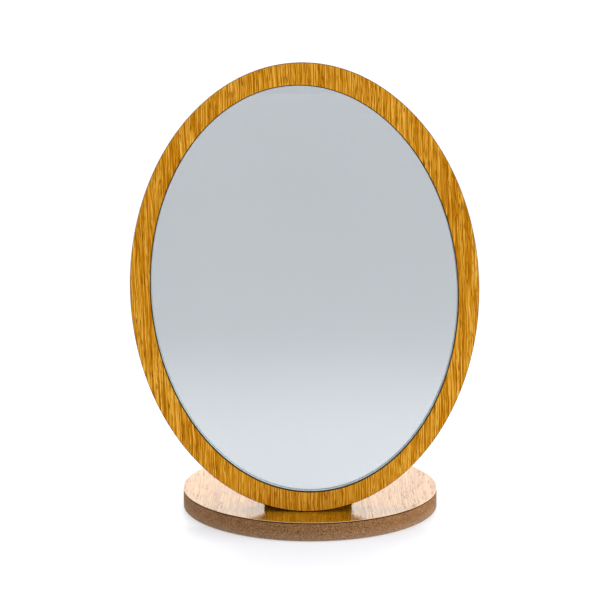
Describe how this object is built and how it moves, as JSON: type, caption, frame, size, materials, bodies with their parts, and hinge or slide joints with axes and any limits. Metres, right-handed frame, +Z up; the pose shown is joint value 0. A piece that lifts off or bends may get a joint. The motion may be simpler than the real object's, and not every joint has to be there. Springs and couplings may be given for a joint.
{
  "type": "tabletop mirror",
  "caption": "Oval tabletop mirror: wood-grain framed glass on a friction hinge that tilts back above a round laminated base.",
  "frame": {"origin": "centre of the round base's felt underside, the face that rests on the table", "axes": "+Z up, -Y the way the mirror faces, +X to the right of someone looking into the mirror"},
  "size_m": [0.1804, 0.14, 0.2448],
  "materials": {
    "oak_laminate": "satin gloss golden oak print",
    "raw_board": "raw sanded fibreboard edge",
    "felt": "short felt",
    "mirror_glass": "clear float glass with a ground arris",
    "silvering": "silvered, painted behind",
    "foam_tape": "white foam",
    "hinge_bronze": "dark bronzed steel",
    "screw_steel": "dull zinc",
    "washer_steel": "satin spring steel"
  },
  "bodies": {
    "stand": {"base_felt": "felt", "base_board": "raw_board", "base_laminate": "oak_laminate", "base_screw_1": "screw_steel", "base_screw_2": "screw_steel", "base_screw_3": "screw_steel", "hinge_base_leaf": "hinge_bronze", "hinge_pin": "screw_steel", "hinge_washer_1": "washer_steel", "hinge_washer_2": "washer_steel", "hinge_washer_3": "washer_steel", "hinge_washer_4": "washer_steel"},
    "panel": {"hinge_frame_leaf": "hinge_bronze", "frame_screw_1": "screw_steel", "frame_screw_2": "screw_steel", "frame_screw_3": "screw_steel", "frame_face_laminate": "oak_laminate", "frame_board": "raw_board", "frame_back_laminate": "oak_laminate", "mirror_glass": "mirror_glass", "mirror_silvering": "silvering", "mounting_tape_1": "foam_tape", "mounting_tape_2": "foam_tape", "mounting_tape_3": "foam_tape"}
  },
  "joints": [
    {"name": "tilt", "type": "hinge", "parent": "stand", "child": "panel", "pos_m": [-0.0013, -0.0386, 0.01305], "axis": [-1, 0, 0], "range_deg": [-1.5, 88.5]}
  ]
}
